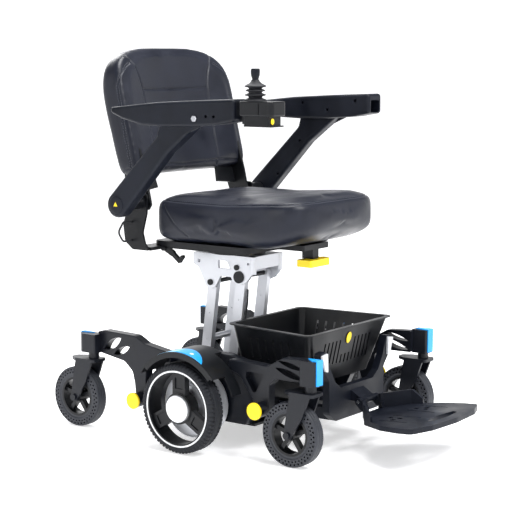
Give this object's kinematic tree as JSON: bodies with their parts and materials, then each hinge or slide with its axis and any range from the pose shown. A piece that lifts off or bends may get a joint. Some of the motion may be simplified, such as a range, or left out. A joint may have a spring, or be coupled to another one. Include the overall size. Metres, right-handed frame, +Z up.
{
  "type": "power wheelchair",
  "caption": "Mid-wheel powered wheelchair with seat raised on a four-bar lift, swivelling padded seat, flip-up armrests, joystick, front basket and folding footplate",
  "frame": {"origin": "middle of the whole chair's footprint, on the floor", "axes": "+Z up, -Y is the front (footplate side), +X is the seated user's left"},
  "size_m": [0.692, 1.09, 1.022],
  "materials": {
    "drive_tyre": "matte, two tread grooves",
    "caster_tyre": "matte",
    "rim": "moulded black",
    "caster_rim": "moulded black",
    "motor": "cast and painted silver",
    "hub_cap": "satin",
    "frame_paint": "fine textured dark grey",
    "fork_paint": "fine textured dark grey",
    "fender": "moulded black",
    "basket": "moulded black",
    "tray": "folded sheet, black",
    "battery": "moulded black",
    "controller": "black anodised",
    "blue_trim": "bright blue",
    "yellow_trim": "bright yellow",
    "lens": "clear white reflector",
    "pin_steel": "zinc plated",
    "lift_casting": "silver paint",
    "black_steel": "black powder coat",
    "footplate": "moulded, fine texture",
    "cable": "black sheath",
    "seat_leather": "bluish charcoal synthetic leather",
    "arm_plastic": "dark grey, fine texture",
    "joystick_case": "moulded black",
    "gaiter": "soft black bellows"
  },
  "bodies": {
    "base": {"chassis_tray": "tray", "battery_boxes": "battery", "motor_controller": "controller", "bumper_strips": "blue_trim", "end_caps": "yellow_trim", "lower_pins": "pin_steel", "basket": "basket", "footrest_frame": "footplate", "reflectors": "lens", "side_frame_left": "frame_paint", "front_arm_left": "frame_paint", "rear_arm_left": "frame_paint", "fender_left": "fender", "drive_motor_left": "motor", "side_frame_right": "frame_paint", "front_arm_right": "frame_paint", "rear_arm_right": "frame_paint", "fender_right": "fender", "drive_motor_right": "motor"},
    "drive_wheel_left": {"drive_tyre_left": "drive_tyre", "drive_rim_left": "rim", "hub_cap_left": "hub_cap"},
    "drive_wheel_right": {"drive_tyre_right": "drive_tyre", "drive_rim_right": "rim", "hub_cap_right": "hub_cap"},
    "caster_fork_front_left": {"caster_fork_front_left": "fork_paint"},
    "caster_wheel_front_left": {"caster_tyre_front_left": "caster_tyre", "caster_rim_front_left": "caster_rim"},
    "caster_fork_front_right": {"caster_fork_front_right": "fork_paint"},
    "caster_wheel_front_right": {"caster_tyre_front_right": "caster_tyre", "caster_rim_front_right": "caster_rim"},
    "caster_fork_rear_left": {"caster_fork_rear_left": "fork_paint"},
    "caster_wheel_rear_left": {"caster_tyre_rear_left": "caster_tyre", "caster_rim_rear_left": "caster_rim"},
    "caster_fork_rear_right": {"caster_fork_rear_right": "fork_paint"},
    "caster_wheel_rear_right": {"caster_tyre_rear_right": "caster_tyre", "caster_rim_rear_right": "caster_rim"},
    "footplate": {"footplate": "footplate"},
    "rear_legs": {"rear_legs": "lift_casting"},
    "front_legs": {"front_legs": "lift_casting", "leg_cable": "cable"},
    "lift_head": {"lift_head": "lift_casting", "upper_pins": "black_steel", "swivel_bearing": "black_steel"},
    "seat": {"seat_pan": "black_steel", "seat_cushion": "seat_leather", "seat_side_plates": "black_steel", "joystick_lead": "cable"},
    "swivel_lever": {"swivel_lever": "yellow_trim"},
    "fold_lever": {"fold_lever": "black_steel"},
    "back": {"back_frame": "black_steel", "back_cushion": "seat_leather"},
    "arm_left": {"armrest_beam_left": "arm_plastic", "armrest_pad_left": "arm_plastic"},
    "arm_right": {"armrest_beam_right": "arm_plastic", "armrest_pad_right": "arm_plastic", "joystick_housing": "joystick_case", "joystick_gaiter": "gaiter"},
    "joystick_gimbal": {"joystick_gimbal": "black_steel"},
    "joystick_stick": {"joystick_stick": "joystick_case"}
  },
  "joints": [
    {"name": "drive_wheel_left", "type": "hinge", "parent": "base", "child": "drive_wheel_left", "pos_m": [0.321, 0.061, 0.115], "axis": [1, 0, 0], "continuous": true},
    {"name": "drive_wheel_right", "type": "hinge", "parent": "base", "child": "drive_wheel_right", "pos_m": [-0.321, 0.061, 0.115], "axis": [1, 0, 0], "continuous": true},
    {"name": "caster_swivel_front_left", "type": "hinge", "parent": "base", "child": "caster_fork_front_left", "pos_m": [0.264, -0.291, 0.22], "axis": [0, 0, 1], "continuous": true},
    {"name": "caster_roll_front_left", "type": "hinge", "parent": "caster_fork_front_left", "child": "caster_wheel_front_left", "pos_m": [0.264, -0.239, 0.081], "axis": [1, 0, 0], "continuous": true},
    {"name": "caster_swivel_front_right", "type": "hinge", "parent": "base", "child": "caster_fork_front_right", "pos_m": [-0.264, -0.291, 0.22], "axis": [0, 0, 1], "continuous": true},
    {"name": "caster_roll_front_right", "type": "hinge", "parent": "caster_fork_front_right", "child": "caster_wheel_front_right", "pos_m": [-0.264, -0.239, 0.081], "axis": [1, 0, 0], "continuous": true},
    {"name": "caster_swivel_rear_left", "type": "hinge", "parent": "base", "child": "caster_fork_rear_left", "pos_m": [0.264, 0.412, 0.22], "axis": [0, 0, 1], "continuous": true},
    {"name": "caster_roll_rear_left", "type": "hinge", "parent": "caster_fork_rear_left", "child": "caster_wheel_rear_left", "pos_m": [0.264, 0.464, 0.081], "axis": [1, 0, 0], "continuous": true},
    {"name": "caster_swivel_rear_right", "type": "hinge", "parent": "base", "child": "caster_fork_rear_right", "pos_m": [-0.264, 0.412, 0.22], "axis": [0, 0, 1], "continuous": true},
    {"name": "caster_roll_rear_right", "type": "hinge", "parent": "caster_fork_rear_right", "child": "caster_wheel_rear_right", "pos_m": [-0.264, 0.464, 0.081], "axis": [1, 0, 0], "continuous": true},
    {"name": "footplate_fold", "type": "hinge", "parent": "base", "child": "footplate", "pos_m": [0, -0.284, 0.125], "axis": [1, 0, 0], "range_deg": [-90, 0]},
    {"name": "seat_lift", "type": "hinge", "parent": "base", "child": "rear_legs", "pos_m": [0, 0.2, 0.17], "axis": [1, 0, 0], "range_deg": [-65, 0]},
    {"name": "front_legs_swing", "type": "hinge", "parent": "base", "child": "front_legs", "pos_m": [0, 0.1046, 0.1913], "axis": [1, 0, 0], "range_deg": [-65, 0]},
    {"name": "lift_head_level", "type": "hinge", "parent": "rear_legs", "child": "lift_head", "pos_m": [0, 0.171, 0.393], "axis": [1, 0, 0], "range_deg": [0, 65]},
    {"name": "seat_swivel", "type": "hinge", "parent": "lift_head", "child": "seat", "pos_m": [0, 0.131, 0.49], "axis": [0, 0, 1], "range_deg": [-90, 90]},
    {"name": "swivel_lever_pull", "type": "hinge", "parent": "seat", "child": "swivel_lever", "pos_m": [0, -0.107, 0.465], "axis": [0, 0, 1], "range_deg": [0, 20], "stiffness_Nm_per_rad": 0.6, "springref_deg": -5.73},
    {"name": "fold_lever_lift", "type": "hinge", "parent": "seat", "child": "fold_lever", "pos_m": [-0.128, 0.275, 0.484], "axis": [1, 0, 0], "range_deg": [-18, 0], "stiffness_Nm_per_rad": 0.6, "springref_deg": 5.73},
    {"name": "back_fold", "type": "hinge", "parent": "seat", "child": "back", "pos_m": [0, 0.273, 0.614], "axis": [1, 0, 0], "range_deg": [0, 50]},
    {"name": "armrest_flip_left", "type": "hinge", "parent": "seat", "child": "arm_left", "pos_m": [0.3, 0.273, 0.614], "axis": [1, 0, 0], "range_deg": [-90, 0]},
    {"name": "armrest_flip_right", "type": "hinge", "parent": "seat", "child": "arm_right", "pos_m": [-0.3, 0.273, 0.614], "axis": [1, 0, 0], "range_deg": [-90, 0]},
    {"name": "joystick_fore_aft", "type": "hinge", "parent": "arm_right", "child": "joystick_gimbal", "pos_m": [-0.298, -0.151, 0.868], "axis": [1, 0, 0], "range_deg": [-18, 18], "stiffness_Nm_per_rad": 0.15, "deforming": ["joystick_gaiter"]},
    {"name": "joystick_sideways", "type": "hinge", "parent": "joystick_gimbal", "child": "joystick_stick", "pos_m": [-0.298, -0.151, 0.868], "axis": [0, 1, 0], "range_deg": [-18, 18], "stiffness_Nm_per_rad": 0.15, "deforming": ["joystick_gaiter"]}
  ],
  "couplings": [
    {"joint": "front_legs_swing", "follows": "seat_lift", "ratio": 1},
    {"joint": "lift_head_level", "follows": "seat_lift", "ratio": -1}
  ]
}
